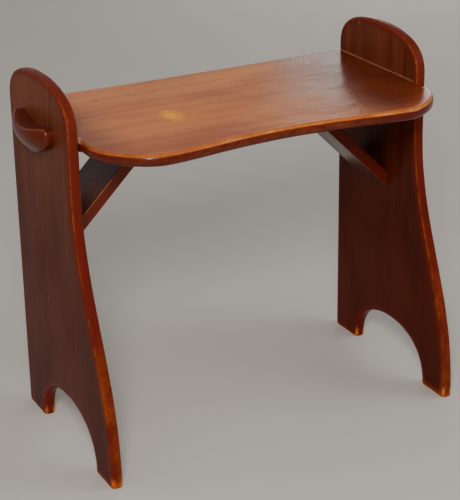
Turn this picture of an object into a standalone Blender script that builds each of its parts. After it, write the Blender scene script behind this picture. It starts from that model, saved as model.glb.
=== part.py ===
"""Piano bench: two shaped end boards, a seat board housed between them, two diagonal braces, two carved handles.

Metres, +Z up, floor at z = 0. X runs along the seat, Y from the front edge (negative) to the back.
"""

import math

import bmesh
import bpy
from mathutils import Matrix, Vector

# Overall sizes
INNER_LENGTH = 0.5688  # between the inner faces of the two end boards
SEAT_HEIGHT = 0.508
BOARD_THICKNESS = 0.0176

# End boards
BACK_Y = 0.1725  # the straight back edge, which the depths are measured from
FOOT_DEPTH = 0.3335  # front to back at the floor
NECK_DEPTH = 0.231  # front to back beside the seat
NECK_DROP = 0.078  # below the seat, where the front edge starts to sweep forward
SHOULDER_RISE = 0.012  # above the seat, where the rounded top starts
END_RISE = 0.071  # the board's top above the seat
BACK_FOOT_DEPTH = 0.0685
ARCH_WIDTH = 0.202
ARCH_HEIGHT = 0.0795
EDGE_RADIUS = 0.006
FOOT_EASE = 0.003  # the part of the rounded edge that the floor cut takes off

# Seat
SEAT_OVERHANG = 0.001  # behind the end boards
SEAT_DEPTH = 0.347  # front to back at the two lobes of the front edge
SEAT_BACK_BOW = 0.006  # how far the middle of the back edge comes forward
SEAT_WAIST = 0.0195  # how far the middle of the front edge is set back from the lobes
SEAT_LOBE_INSET = 0.0874  # from an end board to the lobe beside it
SEAT_CORNER_REACH = 0.0285  # how far the seat's front corners stand in front of the end boards
SEAT_RADIUS = 0.0072
HOUSING_DEPTH = 0.006
HOUSING_STOP = 0.0215  # the wood left between a housing and each edge of its board

# Braces
BRACE_WIDTH = 0.095
BRACE_SETBACK = 0.0615  # from the back edge of the end boards
BRACE_DROP = 0.1809  # from the seat's underside to the brace's lowest corner
BRACE_RADIUS = 0.0015

# Handles
HANDLE_LENGTH = 0.129
HANDLE_PROJECTION = 0.031
HANDLE_RISE = 0.0055  # its tips above the seat
HANDLE_HEIGHT = 0.0465
HANDLE_SAG = 0.0075
HANDLE_RADIUS = 0.0022

# Fastenings
GAP = 0.0003
DOWEL_RADIUS = 0.004
DOWEL_LENGTH = 0.019
DOWEL_CHAMFER = 0.0008
SCREW_RADIUS = 0.0021
SCREW_HEAD_RADIUS = 0.0042
SCREW_HEAD_DEPTH = 0.0026
SCREW_LENGTH = 0.028
SCREW_TIP = 0.005
SCREW_SPACING = 0.050
SLOT_WIDTH = 0.001
ROUND_STEPS = 20
WELD_REACH = 0.0001  # joins the slivers that the carving leaves, before its edges are rounded

INNER_X = INNER_LENGTH / 2
OUTER_X = INNER_X + BOARD_THICKNESS
SEAT_UNDER_Z = SEAT_HEIGHT - BOARD_THICKNESS
END_TOP_Z = SEAT_HEIGHT + END_RISE
SHOULDER_Z = SEAT_HEIGHT + SHOULDER_RISE
NECK_Z = SEAT_HEIGHT - NECK_DROP
FOOT_FRONT_Y = BACK_Y - FOOT_DEPTH
NECK_FRONT_Y = BACK_Y - NECK_DEPTH
BOARD_CENTRE_Y = (NECK_FRONT_Y + BACK_Y) / 2
ARCH_BACK_Y = BACK_Y - BACK_FOOT_DEPTH
ARCH_CENTRE_Y = ARCH_BACK_Y - ARCH_WIDTH / 2
TOE_RADIUS = EDGE_RADIUS + 0.0005
SEAT_BACK_Y = BACK_Y + SEAT_OVERHANG
SEAT_LOBE_X = INNER_X - SEAT_LOBE_INSET
SEAT_LOBE_Y = SEAT_BACK_Y - SEAT_DEPTH
SEAT_WAIST_Y = SEAT_LOBE_Y + SEAT_WAIST
SEAT_CORNER_Y = NECK_FRONT_Y - SEAT_CORNER_REACH
HOUSING_FRONT_Y = NECK_FRONT_Y + HOUSING_STOP
HOUSING_BACK_Y = BACK_Y - HOUSING_STOP
BRACE_BACK_Y = BACK_Y - BRACE_SETBACK
BRACE_CENTRE_Y = BRACE_BACK_Y - BRACE_WIDTH / 2
BRACE_FOOT_Z = SEAT_UNDER_Z - BRACE_DROP
BRACE_CUT = BOARD_THICKNESS * math.sqrt(2)
HANDLE_TOP_Z = SEAT_HEIGHT + HANDLE_RISE
HANDLE_BOTTOM_Z = HANDLE_TOP_Z - HANDLE_HEIGHT
SIDES = (("left", -1), ("right", 1))

# Plane bases: local x, local y and local z as world directions
SIDE_PLANE = Matrix(((0, 0, 1), (1, 0, 0), (0, 1, 0))).to_4x4()
PLAN_PLANE = Matrix.Identity(4)
FRONT_PLANE = Matrix(((1, 0, 0), (0, 0, -1), (0, 1, 0))).to_4x4()


def clear_scene():
    for obj in list(bpy.data.objects):
        bpy.data.objects.remove(obj, do_unlink=True)


def make_collection(name, hidden):
    collection = bpy.data.collections.new(name)
    collection.hide_render = hidden
    bpy.context.scene.collection.children.link(collection)
    return collection


def make_material(name, color, roughness, metallic=0.0):
    material = bpy.data.materials.new(name)
    material.use_nodes = True
    shader = material.node_tree.nodes["Principled BSDF"]
    shader.inputs["Base Color"].default_value = (*color, 1.0)
    shader.inputs["Roughness"].default_value = roughness
    shader.inputs["Metallic"].default_value = metallic
    return material


def add_object(name, mesh, collection, material=None):
    obj = bpy.data.objects.new(name, mesh)
    collection.objects.link(obj)
    if material is not None:
        mesh.materials.append(material)
    return obj


def outline_mesh(name, knots, half_depth, plane, offset, steps=10):
    """A solid from a closed outline. A knot is (point, arriving handle, leaving handle); a plain corner has None."""
    curve = bpy.data.curves.new(name + "_outline", "CURVE")
    curve.dimensions = "2D"
    curve.fill_mode = "BOTH"
    curve.extrude = half_depth
    curve.resolution_u = steps
    spline = curve.splines.new("BEZIER")
    spline.bezier_points.add(len(knots) - 1)
    spline.use_cyclic_u = True
    for knot, (point, arriving, leaving) in zip(spline.bezier_points, knots):
        knot.handle_left_type = "FREE" if arriving else "VECTOR"
        knot.handle_right_type = "FREE" if leaving else "VECTOR"
        knot.co = (*point, 0)
        if arriving:
            knot.handle_left = (*arriving, 0)
        if leaving:
            knot.handle_right = (*leaving, 0)
    holder = bpy.data.objects.new(name + "_outline", curve)
    bpy.context.scene.collection.objects.link(holder)
    bpy.context.view_layer.update()
    graph = bpy.context.evaluated_depsgraph_get()
    mesh = bpy.data.meshes.new_from_object(holder.evaluated_get(graph))
    mesh.name = name
    bpy.data.objects.remove(holder, do_unlink=True)
    bpy.data.curves.remove(curve)
    settle(mesh, Matrix.Translation(offset) @ plane)
    return mesh


def settle(mesh, matrix):
    """Merges the doubled points, makes each flat side one face and moves the mesh by the matrix."""
    bm = bmesh.new()
    bm.from_mesh(mesh)
    bmesh.ops.remove_doubles(bm, verts=bm.verts, dist=1e-5)
    bmesh.ops.transform(bm, matrix=matrix, verts=bm.verts)
    bmesh.ops.dissolve_limit(bm, angle_limit=math.radians(0.1), verts=bm.verts, edges=bm.edges)
    bmesh.ops.recalc_face_normals(bm, faces=bm.faces)
    bm.to_mesh(mesh)
    bm.free()


def box_mesh(name, low, high):
    mesh = bpy.data.meshes.new(name)
    bm = bmesh.new()
    bmesh.ops.create_cube(bm, size=1.0)
    size = Vector(high) - Vector(low)
    centre = (Vector(high) + Vector(low)) / 2
    bmesh.ops.scale(bm, vec=size, verts=bm.verts)
    bmesh.ops.translate(bm, vec=centre, verts=bm.verts)
    bm.to_mesh(mesh)
    bm.free()
    return mesh


def rod_mesh(name, radius, half_length, chamfer, axis, centre):
    mesh = bpy.data.meshes.new(name)
    bm = bmesh.new()
    bmesh.ops.create_cone(
        bm, cap_ends=True, segments=ROUND_STEPS, radius1=radius, radius2=radius, depth=2 * half_length
    )
    if chamfer:
        rims = [edge for edge in bm.edges if abs(edge.verts[0].co.z - edge.verts[1].co.z) < 1e-6]
        bmesh.ops.bevel(bm, geom=rims, offset=chamfer, segments=1, affect="EDGES")
    turn = Vector((0, 0, 1)).rotation_difference(Vector(axis)).to_matrix().to_4x4()
    bmesh.ops.transform(bm, matrix=Matrix.Translation(centre) @ turn, verts=bm.verts)
    bm.to_mesh(mesh)
    bm.free()
    return mesh


def add_modifier(obj, kind, **settings):
    modifier = obj.modifiers.new(kind.title(), kind)
    for key, value in settings.items():
        setattr(modifier, key, value)
    return modifier


def round_edges(obj, width, segments, angle=math.radians(50)):
    add_modifier(obj, "BEVEL", width=width, segments=segments, limit_method="ANGLE", angle_limit=angle)


def combine(obj, other, operation):
    other.hide_render = True
    other.display_type = "WIRE"
    add_modifier(obj, "BOOLEAN", operation=operation, solver="EXACT", object=other)


def corner(point, before, after, radius):
    """Two knots that round a square corner between the directions of its neighbours."""
    point = Vector(point)
    back = (Vector(before) - point).normalized()
    on = (Vector(after) - point).normalized()
    reach = 0.45 * radius
    first = point + back * radius
    second = point + on * radius
    return [
        (tuple(first), None, tuple(first - back * (radius - reach))),
        (tuple(second), tuple(second - on * (radius - reach)), None),
    ]


def end_board_knots():
    """The outline seen from the side, carried a little below the floor, where the feet are cut flat."""
    low = -FOOT_EASE
    arch_front = ARCH_BACK_Y - ARCH_WIDTH
    front_corner = corner((FOOT_FRONT_Y, low), (arch_front, low), (FOOT_FRONT_Y, NECK_Z), TOE_RADIUS)
    back_corner = corner((BACK_Y, low), (BACK_Y, NECK_Z), (ARCH_BACK_Y, low), TOE_RADIUS)
    first_point, first_handle, _ = front_corner[1]
    front_corner[1] = (first_point, first_handle, (FOOT_FRONT_Y - 0.002, 0.43 * NECK_Z))
    shoulder = SHOULDER_Z + 0.66 * (END_TOP_Z - SHOULDER_Z)
    crown = 0.33 * NECK_DEPTH
    spring = 0.66 * ARCH_HEIGHT
    flat = 0.29 * ARCH_WIDTH
    return [
        ((arch_front, low), (arch_front, spring), None),
        *front_corner,
        ((NECK_FRONT_Y, NECK_Z), (NECK_FRONT_Y, 0.61 * NECK_Z), None),
        ((NECK_FRONT_Y, SHOULDER_Z), None, (NECK_FRONT_Y, shoulder)),
        (
            (BOARD_CENTRE_Y, END_TOP_Z),
            (BOARD_CENTRE_Y - crown, END_TOP_Z),
            (BOARD_CENTRE_Y + crown, END_TOP_Z),
        ),
        ((BACK_Y, SHOULDER_Z), (BACK_Y, shoulder), None),
        *back_corner,
        ((ARCH_BACK_Y, low), None, (ARCH_BACK_Y, spring)),
        (
            (ARCH_CENTRE_Y, ARCH_HEIGHT),
            (ARCH_CENTRE_Y + flat, ARCH_HEIGHT),
            (ARCH_CENTRE_Y - flat, ARCH_HEIGHT),
        ),
    ]


def seat_knots():
    end = INNER_X - GAP
    drop = SEAT_LOBE_Y - SEAT_CORNER_Y
    right = [
        ((0, SEAT_WAIST_Y), None, (0.46 * SEAT_LOBE_X, SEAT_WAIST_Y)),
        (
            (SEAT_LOBE_X, SEAT_LOBE_Y),
            (0.77 * SEAT_LOBE_X, SEAT_LOBE_Y),
            (SEAT_LOBE_X + 0.45 * (end - SEAT_LOBE_X), SEAT_LOBE_Y),
        ),
        ((end, SEAT_CORNER_Y), (end, SEAT_CORNER_Y + 0.43 * drop), None),
        *corner((end, SEAT_BACK_Y), (end, 0), (0, SEAT_BACK_Y), SEAT_RADIUS + 0.001),
    ]
    left = []
    for point, arriving, leaving in reversed(right[1:]):
        left.append((flipped(point), flipped(leaving), flipped(arriving)))
    waist, _, leaving = right[0]
    back = SEAT_BACK_Y - SEAT_BACK_BOW
    back_middle = ((0, back), (0.5 * end, back), (-0.5 * end, back))
    return [(waist, flipped(leaving), leaving), *right[1:], back_middle, *left]


def flipped(point):
    return None if point is None else (-point[0], point[1])


def handle_knots():
    """The handle's shape against the board: a sagging top edge, full ends and a bellied lower edge."""
    half = HANDLE_LENGTH / 2
    middle = HANDLE_TOP_Z - HANDLE_SAG
    widest = HANDLE_TOP_Z - 0.36 * HANDLE_HEIGHT
    upper = widest + 0.15 * HANDLE_HEIGHT
    lower = widest - 0.20 * HANDLE_HEIGHT
    return [
        ((0, middle), (-0.35 * half, middle), (0.35 * half, middle)),
        ((0.86 * half, HANDLE_TOP_Z), (0.70 * half, HANDLE_TOP_Z), (0.95 * half, HANDLE_TOP_Z)),
        ((half, widest), (half, upper), (half, lower)),
        ((0, HANDLE_BOTTOM_Z), (0.55 * half, HANDLE_BOTTOM_Z), (-0.55 * half, HANDLE_BOTTOM_Z)),
        ((-half, widest), (-half, lower), (-half, upper)),
        ((-0.86 * half, HANDLE_TOP_Z), (-0.95 * half, HANDLE_TOP_Z), (-0.70 * half, HANDLE_TOP_Z)),
    ]


def screw_mesh(name, grow, sign, y, z):
    """A countersunk wood screw driven outward along X, turned from its half profile."""
    head = SCREW_HEAD_RADIUS + grow
    shank = SCREW_RADIUS + grow
    tip = SCREW_LENGTH + grow
    profile = [
        (0.0, -grow),
        (head, -grow),
        (head, 0.0004),
        (shank, SCREW_HEAD_DEPTH),
        (shank, SCREW_LENGTH - SCREW_TIP),
        (0.35 * shank, tip),
        (0.0, tip),
    ]
    mesh = bpy.data.meshes.new(name)
    bm = bmesh.new()
    points = [bm.verts.new((radius, 0, -depth)) for radius, depth in profile]
    edges = [bm.edges.new(pair) for pair in zip(points, points[1:])]
    bmesh.ops.spin(
        bm,
        geom=points + edges,
        cent=(0, 0, 0),
        axis=(0, 0, 1),
        angle=2 * math.pi,
        steps=ROUND_STEPS,
        use_merge=True,
    )
    bmesh.ops.remove_doubles(bm, verts=bm.verts, dist=1e-6)
    turn = Vector((0, 0, -1)).rotation_difference(Vector((sign, 0, 0))).to_matrix().to_4x4()
    place = Matrix.Translation((sign * INNER_X, y, z))
    bmesh.ops.transform(bm, matrix=place @ turn, verts=bm.verts)
    bmesh.ops.recalc_face_normals(bm, faces=bm.faces)
    bm.to_mesh(mesh)
    bm.free()
    return mesh


def handle_screw_places():
    """(name, y, z) of a handle's screws, between the seat's underside and the handle's lower edge."""
    reach = SCREW_SPACING / 2
    height = (SEAT_UNDER_Z + HANDLE_BOTTOM_Z) / 2
    return (("front", BOARD_CENTRE_Y - reach, height), ("back", BOARD_CENTRE_Y + reach, height))


def brace_dowel_places(sign):
    """(name, axis, centre) of each dowel of one brace."""
    top_x = sign * (INNER_X - BRACE_DROP + 0.70 * BRACE_CUT)
    low_z = BRACE_FOOT_Z + 0.70 * BRACE_CUT
    reach = 0.30 * BRACE_WIDTH
    places = []
    for place, y in (("front", BRACE_CENTRE_Y - reach), ("back", BRACE_CENTRE_Y + reach)):
        places.append(("top_" + place, (0, 0, 1), (top_x, y, SEAT_UNDER_Z)))
        places.append(("low_" + place, (sign, 0, 0), (sign * INNER_X, y, low_z)))
    return places


def add_end_board(side, sign, parts, cutters, wood):
    name = "end_board_" + side
    centre_x = sign * (INNER_X + BOARD_THICKNESS / 2)
    mesh = outline_mesh(name, end_board_knots(), BOARD_THICKNESS / 2, SIDE_PLANE, (centre_x, 0, 0))
    board = add_object(name, mesh, parts, wood)
    round_edges(board, EDGE_RADIUS, 3)
    floor = box_mesh(
        "floor_" + side,
        (centre_x - BOARD_THICKNESS, FOOT_FRONT_Y - 0.01, -2 * FOOT_EASE),
        (centre_x + BOARD_THICKNESS, BACK_Y + 0.01, 0),
    )
    combine(board, add_object("floor_" + side, floor, cutters), "DIFFERENCE")
    low = sorted((sign * (INNER_X - 0.01), sign * (INNER_X + HOUSING_DEPTH)))
    housing = box_mesh(
        "housing_" + side,
        (low[0], HOUSING_FRONT_Y - GAP, SEAT_UNDER_Z - GAP),
        (low[1], HOUSING_BACK_Y + GAP, SEAT_HEIGHT + GAP),
    )
    combine(board, add_object("housing_" + side, housing, cutters), "DIFFERENCE")
    return board


def add_seat(parts, cutters, wood):
    middle = SEAT_HEIGHT - BOARD_THICKNESS / 2
    mesh = outline_mesh("seat_board", seat_knots(), BOARD_THICKNESS / 2, PLAN_PLANE, (0, 0, middle))
    seat = add_object("seat_board", mesh, parts, wood)
    round_edges(seat, SEAT_RADIUS, 3)
    for side, sign in SIDES:
        square = sorted((sign * (INNER_X - 0.016), sign * (INNER_X - GAP)))
        tongue = sorted((sign * (INNER_X - 0.020), sign * (INNER_X + HOUSING_DEPTH - GAP)))
        end = box_mesh(
            "seat_end_" + side,
            (square[0], NECK_FRONT_Y + 0.004, SEAT_UNDER_Z),
            (square[1], BACK_Y - 0.004, SEAT_HEIGHT),
        )
        inset = box_mesh(
            "seat_tongue_" + side,
            (tongue[0], HOUSING_FRONT_Y, SEAT_UNDER_Z),
            (tongue[1], HOUSING_BACK_Y, SEAT_HEIGHT),
        )
        combine(seat, add_object("seat_end_" + side, end, cutters), "UNION")
        combine(seat, add_object("seat_tongue_" + side, inset, cutters), "UNION")
    return seat


def add_brace(side, sign, parts, wood):
    name = "brace_" + side
    foot_x = INNER_X - GAP
    top_z = SEAT_UNDER_Z - GAP
    rise = top_z - BRACE_FOOT_Z
    corners = [
        (foot_x, BRACE_FOOT_Z),
        (foot_x, BRACE_FOOT_Z + BRACE_CUT),
        (foot_x - rise + BRACE_CUT, top_z),
        (foot_x - rise, top_z),
    ]
    knots = [((sign * x, z), None, None) for x, z in corners]
    mesh = outline_mesh(name, knots, BRACE_WIDTH / 2, FRONT_PLANE, (0, BRACE_CENTRE_Y, 0), steps=1)
    brace = add_object(name, mesh, parts, wood)
    round_edges(brace, BRACE_RADIUS, 2, math.radians(30))
    return brace


def add_handle(side, sign, parts, cutters, wood):
    name = "handle_" + side
    back_x = sign * (OUTER_X + GAP)
    depth = HANDLE_PROJECTION / 2 + 0.002
    mesh = outline_mesh(
        name, handle_knots(), depth, SIDE_PLANE, (back_x + sign * depth, BOARD_CENTRE_Y, 0), steps=7
    )
    handle = add_object(name, mesh, parts, wood)
    bowl = bpy.data.meshes.new("bowl_" + side)
    bm = bmesh.new()
    bmesh.ops.create_uvsphere(bm, u_segments=48, v_segments=24, radius=1.0)
    size = (HANDLE_PROJECTION, 0.56 * HANDLE_LENGTH, 0.72 * HANDLE_HEIGHT)
    bmesh.ops.scale(bm, vec=size, verts=bm.verts)
    centre = (sign * OUTER_X, BOARD_CENTRE_Y, HANDLE_TOP_Z - 0.30 * HANDLE_HEIGHT)
    bmesh.ops.translate(bm, vec=centre, verts=bm.verts)
    bm.to_mesh(bowl)
    bm.free()
    combine(handle, add_object("bowl_" + side, bowl, cutters), "INTERSECT")
    add_modifier(handle, "WELD", merge_threshold=WELD_REACH)
    round_edges(handle, HANDLE_RADIUS, 2)
    return handle


def add_dowels(side, sign, pieces, parts, cutters, wood):
    seat, board, brace = pieces
    for place, axis, centre in brace_dowel_places(sign):
        name = "dowel_" + side + "_" + place
        dowel = rod_mesh(name, DOWEL_RADIUS, DOWEL_LENGTH / 2, DOWEL_CHAMFER, axis, centre)
        shade_round(add_object(name, dowel, parts, wood))
        hole = rod_mesh(name + "_hole", DOWEL_RADIUS + GAP, DOWEL_LENGTH / 2 + GAP, 0, axis, centre)
        cutter = add_object(name + "_hole", hole, cutters)
        combine(brace, cutter, "DIFFERENCE")
        combine(seat if place.startswith("top") else board, cutter, "DIFFERENCE")


def add_handle_screws(side, sign, board, handle, parts, cutters, steel):
    slot_x = sorted((sign * (INNER_X - SLOT_WIDTH), sign * (INNER_X + SLOT_WIDTH)))
    for place, y, z in handle_screw_places():
        name = "screw_" + side + "_" + place
        screw = add_object(name, screw_mesh(name, 0, sign, y, z), parts, steel)
        slot = box_mesh(
            name + "_slot",
            (slot_x[0], y - SLOT_WIDTH / 2, z - 2 * SCREW_HEAD_RADIUS),
            (slot_x[1], y + SLOT_WIDTH / 2, z + 2 * SCREW_HEAD_RADIUS),
        )
        combine(screw, add_object(name + "_slot", slot, cutters), "DIFFERENCE")
        shade_round(screw)
        cutter = add_object(name + "_hole", screw_mesh(name + "_hole", GAP, sign, y, z), cutters)
        combine(board, cutter, "DIFFERENCE")
        combine(handle, cutter, "DIFFERENCE")


def shade_round(obj):
    for face in obj.data.polygons:
        face.use_smooth = True


def main():
    clear_scene()
    parts = make_collection("piano_bench", False)
    cutters = make_collection("cutters", True)
    woods = {
        "board": make_material("red_brown_maple", (0.16, 0.035, 0.015), 0.3),
        "seat": make_material("seat_maple", (0.30, 0.10, 0.035), 0.3),
        "dowel": make_material("dowel_birch", (0.55, 0.38, 0.2), 0.6),
    }
    steel = make_material("steel", (0.5, 0.5, 0.5), 0.35, 1.0)
    seat = add_seat(parts, cutters, woods["seat"])
    for side, sign in SIDES:
        board = add_end_board(side, sign, parts, cutters, woods["board"])
        brace = add_brace(side, sign, parts, woods["board"])
        handle = add_handle(side, sign, parts, cutters, woods["board"])
        add_dowels(side, sign, (seat, board, brace), parts, cutters, woods["dowel"])
        add_handle_screws(side, sign, board, handle, parts, cutters, steel)


main()
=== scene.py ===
"""Piano bench: the stained and varnished wood of its boards, braces and handles, and its handle screws.

Metres, +Z up. X runs along the seat, Y from the scalloped front to the back.
"""

import math

import bmesh
import bpy
import numpy as np
from bpy.props import FloatProperty, FloatVectorProperty, PointerProperty
from mathutils import Matrix, Vector
from mathutils.geometry import delaunay_2d_cdt


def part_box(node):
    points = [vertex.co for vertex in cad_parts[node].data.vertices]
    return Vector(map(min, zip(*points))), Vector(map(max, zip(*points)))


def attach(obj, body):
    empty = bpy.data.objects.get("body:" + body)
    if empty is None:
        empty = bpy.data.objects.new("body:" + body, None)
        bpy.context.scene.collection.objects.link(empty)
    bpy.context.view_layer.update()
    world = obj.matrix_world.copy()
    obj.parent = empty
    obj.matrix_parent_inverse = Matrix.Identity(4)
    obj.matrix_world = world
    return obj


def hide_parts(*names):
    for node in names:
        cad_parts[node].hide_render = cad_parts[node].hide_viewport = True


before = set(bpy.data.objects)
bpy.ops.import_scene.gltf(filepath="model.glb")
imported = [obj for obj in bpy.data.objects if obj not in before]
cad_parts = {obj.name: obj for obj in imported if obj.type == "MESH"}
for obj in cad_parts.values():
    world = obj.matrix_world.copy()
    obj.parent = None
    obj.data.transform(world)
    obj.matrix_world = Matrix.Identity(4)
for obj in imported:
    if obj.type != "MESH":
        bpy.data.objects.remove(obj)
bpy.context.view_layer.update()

bl_info = {
    "name": "Piano bench",
    "version": (1, 0, 0),
    "blender": (4, 5, 0),
    "location": "3D View > Sidebar > Bench",
    "description": "Builds the finished pieces of a stained wooden piano bench",
    "category": "Object",
}

BOARD_LOW, BOARD_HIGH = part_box("end_board_right")
SEAT_LOW, SEAT_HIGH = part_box("seat_board")
BRACE_LOW, BRACE_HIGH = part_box("brace_right")
HANDLE_LOW, HANDLE_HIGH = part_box("handle_right")
SIDES = (("left", -1), ("right", 1))

INNER_X = BOARD_LOW.x
OUTER_X = BOARD_HIGH.x
BACK_Y = BOARD_HIGH.y
FOOT_FRONT_Y = BOARD_LOW.y
SEAT_Z = SEAT_HIGH.z
THICKNESS = OUTER_X - INNER_X

GLUE_GAP = 0.0003  # between the seat's ends and the end boards
HANDLE_GAP = 0.0002  # between a handle's back and its end board
FOOT_EASE = 0.003  # the outline runs this far below the floor, where the feet are cut flat
TOE_SPARE = 0.0008  # how much more than its edge a foot's corner is rounded
CORNER_SPARE = 0.0010  # how much more than its edge a back corner of the seat is rounded
SUPPORT = 0.0004  # from a rounded edge to the row of points that keeps the flat beside it flat
RIM_FADE = 0.008  # how far an edge's wear and colour reach over the flat face beside it
ON_EDGE = 0.999  # a rim mark above this is on the edge itself
BOARD_POINTS = 760  # round the outline of an end board or of the seat
BRACE_POINTS, BRACE_ROWS = 200, 60  # round a brace's section, and along the brace
HANDLE_POINTS = 320  # round the outline of a handle
STRETCH_SAMPLES = 81  # along one stretch of an outline, before its points are spaced
TURN_CROWDING = 0.03  # a turn of one radian takes as many points as this length of an outline
FACE_GRID = 0.006  # between the points inside a flat face
CARVED_GRID = 0.0022  # between the points inside a handle's carved face
MERGE = 2e-6  # points closer than this become one
SHARP = math.radians(32)  # a fold above this angle stays a crisp edge

# Dark marks on the seat as centre and half size in (x, y): a short dash and two spots.
SEAT_SPOTS = (
    ((0.037, -0.005), (0.0100, 0.0014)),
    ((-0.189, 0.105), (0.0060, 0.0028)),
    ((-0.133, 0.108), (0.0045, 0.0022)),
)
# The seat's golden patch as layers of centre, half size, raggedness, softness, strength and colour.
GOLDEN_PATCH = (
    ((-0.085, -0.022), (0.095, 0.055), 1.0, 0.80, 0.45, (0.72, 0.190, 0.018, 1)),
    ((-0.119, -0.015), (0.017, 0.026), 1.6, 0.45, 0.50, (0.86, 0.300, 0.022, 1)),
    ((-0.122, -0.014), (0.010, 0.017), 2.2, 0.60, 0.60, (0.98, 0.430, 0.030, 1)),
)
# Old nicks on each end board in (y, z).
LEFT_NICKS = (
    (-0.150, 0.160),
    (-0.137, 0.183),
    (0.056, 0.227),
    (0.098, 0.331),
    (-0.040, 0.405),
    (0.019, 0.429),
)
RIGHT_NICKS = ((0.1115, 0.565),)
# How much painted light lightens an end board's top, how red its edges or a brace's are, and how glossy a
# brace is. The left board's larger shares are partly painted light, as its side takes more light.
BOARD_LOOKS = {
    "left": {"top_light": 0.75, "edged": 0.85, "nicks": LEFT_NICKS},
    "right": {"top_light": 0.62, "edged": 0.75, "nicks": RIGHT_NICKS},
}
BRACE_LOOKS = {"left": {"edged": 0.80, "shine": 0.40}, "right": {"edged": 0.55, "shine": 0.12}}
BRACE_RUBBED = {"left": 0.50, "right": 0.25}  # how worn a brace's front arrises are

# Colours that stay the same when the finish is changed.
DENT_DIRT = (0.020, 0.0060, 0.0030, 1)
OLD_NICK = (0.420, 0.1600, 0.0750, 1)
# The seat's darker ends: partly deeper stain, partly painted shade by the end boards and a painted dark
# reflection of the right board.
STAIN_AND_PAINTED_SHADE = (0.085, 0.0085, 0.0050, 1)
ORANGE_STAIN = (0.360, 0.0700, 0.0080, 1)
RUBBED_STAIN = (0.540, 0.1400, 0.0160, 1)
# Painted highlight: a pale line where the seat meets the end boards.
PAINTED_SEAM_HIGHLIGHT = (0.520, 0.2700, 0.1400, 1)
DARK_SPOT = (0.070, 0.0140, 0.0050, 1)
BOARD_SHEEN = (1.0, 0.62, 0.48, 1)
SEAT_SHEEN = (1.0, 0.85, 0.75, 1)
BIRCH_DARK, BIRCH_LIGHT = (0.36, 0.22, 0.11, 1), (0.60, 0.42, 0.24, 1)
STEEL_DARK, STEEL_LIGHT = (0.30, 0.29, 0.27, 1), (0.52, 0.50, 0.47, 1)
RUST = (0.16, 0.06, 0.02, 1)

# ---------------------------------------------------------------- sizes and colours


def length(name, description, default):
    return FloatProperty(name=name, description=description, default=default, unit="LENGTH", precision=4)


def colour(name, description, default):
    return FloatVectorProperty(
        name=name, description=description, default=default, subtype="COLOR", size=3, min=0.0, max=1.0
    )


def share(name, description, default):
    return FloatProperty(
        name=name, description=description, default=default, subtype="FACTOR", min=0.0, max=1.0
    )


def power(name, description, default):
    return FloatProperty(name=name, description=description, default=default, unit="POWER")


class BenchBoards(bpy.types.PropertyGroup):
    neck_depth: length("Neck depth", "End board front to back beside the seat", 0.231)
    neck_drop: length("Neck drop", "Below the seat, where the front edge starts to sweep forward", 0.078)
    shoulder_rise: length("Shoulder rise", "Above the seat, where the rounded top starts", 0.012)
    back_foot: length("Back foot", "Length of the back foot on the floor", 0.0685)
    arch_width: length("Arch width", "Between the two feet of an end board", 0.202)
    arch_height: length("Arch height", "From the floor to the top of the arch", 0.0795)
    edge_radius: length("Edge radius", "Rounding of the end boards' edges", 0.006)
    brace_radius: length("Brace edge", "Easing of the braces' edges", 0.0015)


class BenchSeat(bpy.types.PropertyGroup):
    back_bow: length("Back bow", "How far the middle of the back edge comes forward", 0.006)
    waist: length("Waist", "How far the middle of the front edge is set back", 0.0195)
    lobe_inset: length("Lobe inset", "From an end board to the lobe beside it", 0.0874)
    corner_reach: length("Corner reach", "Front corners in front of the end boards", 0.0285)
    edge_radius: length("Edge radius", "Rounding of the front and back edges", 0.0072)


class BenchHandle(bpy.types.PropertyGroup):
    sag: length("Sag", "How far the middle of the top edge drops", 0.0075)
    edge_radius: length("Edge radius", "Rounding of the handle's rim", 0.0042)
    screw_head: length("Screw head", "Radius of a screw head", 0.0042)


class BenchFinish(bpy.types.PropertyGroup):
    board_dark: colour("Board dark", "Stain of the end boards where it is deepest", (0.044, 0.0044, 0.0018))
    board_light: colour("Board light", "Stain of the end boards where it is thin", (0.108, 0.0150, 0.0055))
    # Painted light: the end boards are lightened towards this colour near their tops.
    board_top_light: colour("Board top", "Faded stain towards the end boards' tops", (0.190, 0.0480, 0.0190))
    board_edge: colour("Board edge", "Stain on the end boards' rounded edges", (0.135, 0.0130, 0.0085))
    seat_dark: colour("Seat dark", "Stain of the seat where it is deepest", (0.330, 0.0660, 0.0100))
    seat_light: colour("Seat light", "Stain of the seat where it is thin", (0.640, 0.2000, 0.0420))
    seat_edge: colour("Seat edge", "Stain on the seat's edges", (0.088, 0.0058, 0.0022))
    worn: colour("Worn stain", "Colour of an edge that hands have rubbed", (0.520, 0.1300, 0.0200))
    bare: colour("Bare wood", "Colour of the wood where the finish is gone", (0.700, 0.3400, 0.0900))
    wear: share("Wear", "How far the rubbed edges are worn", 0.75)
    knocks: share("Knocks", "How many small dents show", 0.6)


class BenchStage(bpy.types.PropertyGroup):
    floor: colour("Floor", "Colour of the floor", (0.58, 0.555, 0.52))
    ambient: share("Ambient", "Strength of the light from all round", 0.42)
    key: power("Key light", "The main light, in front on the left", 66.0)
    back: power("Back light", "The light behind on the right, which the seat mirrors", 12.5)
    fill: power("Fill light", "The wide light in front on the right", 20.0)


# ---------------------------------------------------------------- outlines


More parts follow.
